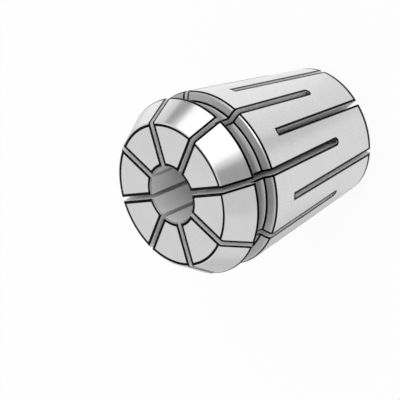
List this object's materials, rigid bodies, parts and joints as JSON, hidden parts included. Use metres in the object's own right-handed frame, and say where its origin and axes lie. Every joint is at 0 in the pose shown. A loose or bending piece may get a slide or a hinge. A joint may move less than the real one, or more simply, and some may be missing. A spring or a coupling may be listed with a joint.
{
  "type": "spring collet",
  "caption": "Slotted steel spring collet with a 30 degree nose cone, an extraction groove and an 8 degree rear taper, gripping a round tool shank in its bore.",
  "frame": {"origin": "centre of the small rear face, on the collet's axis", "axes": "+Z along the axis, from the rear face to the nose; +X through the middle of one of the slots that open at the nose"},
  "size_m": [0.033, 0.033, 0.04],
  "materials": {
    "ground_steel": "hardened spring steel: taper, cone and end faces ground and lightly polished, groove, slots and broken edges left darker"
  },
  "bodies": {
    "root": {"collet": "ground_steel"}
  },
  "joints": []
}
